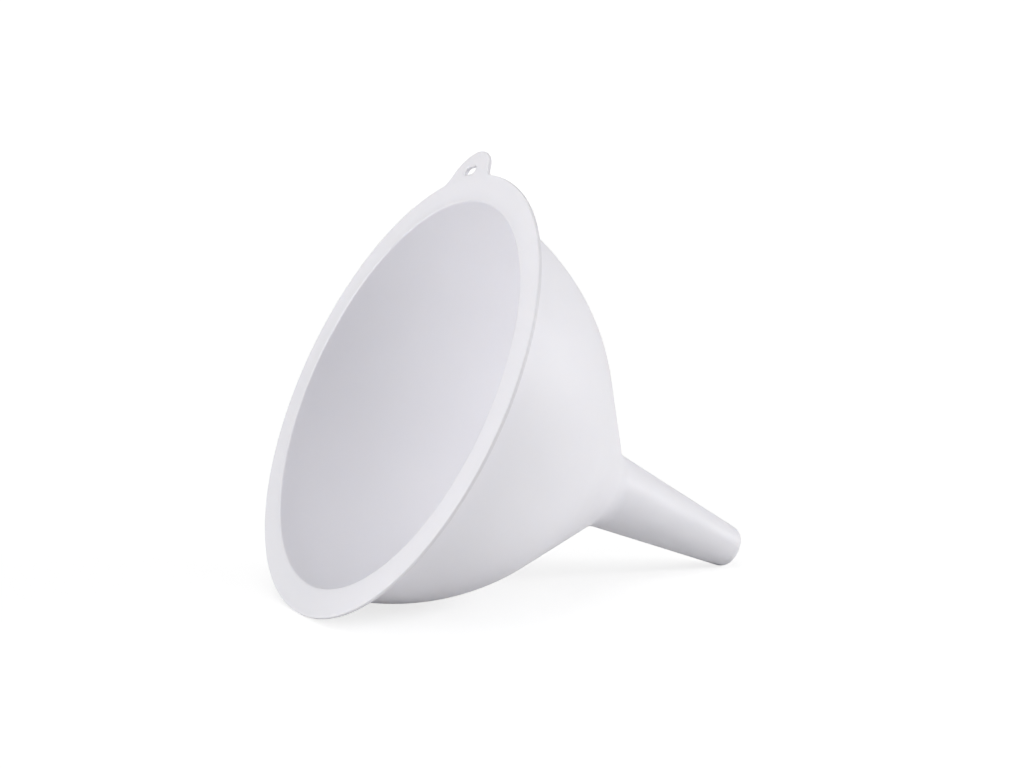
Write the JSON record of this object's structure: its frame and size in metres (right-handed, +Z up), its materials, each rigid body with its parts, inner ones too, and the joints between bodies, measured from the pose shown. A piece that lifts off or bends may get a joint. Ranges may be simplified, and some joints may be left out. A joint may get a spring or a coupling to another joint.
{
  "type": "funnel",
  "caption": "One-piece plastic funnel with a rounded bowl, flat rim flange, slotted hang tab and tapered stem, lying on its side.",
  "frame": {"origin": "on the floor, under the middle of the funnel's box, as it lies on its side", "axes": "+Z up; +X along the floor from the mouth towards the end of the stem; +Y across the mouth"},
  "size_m": [0.218, 0.1998, 0.1906],
  "materials": {
    "natural_plastic": "satin, uncoloured polyethylene that lets a little light through"
  },
  "bodies": {
    "root": {"funnel_body": "natural_plastic"}
  },
  "joints": []
}
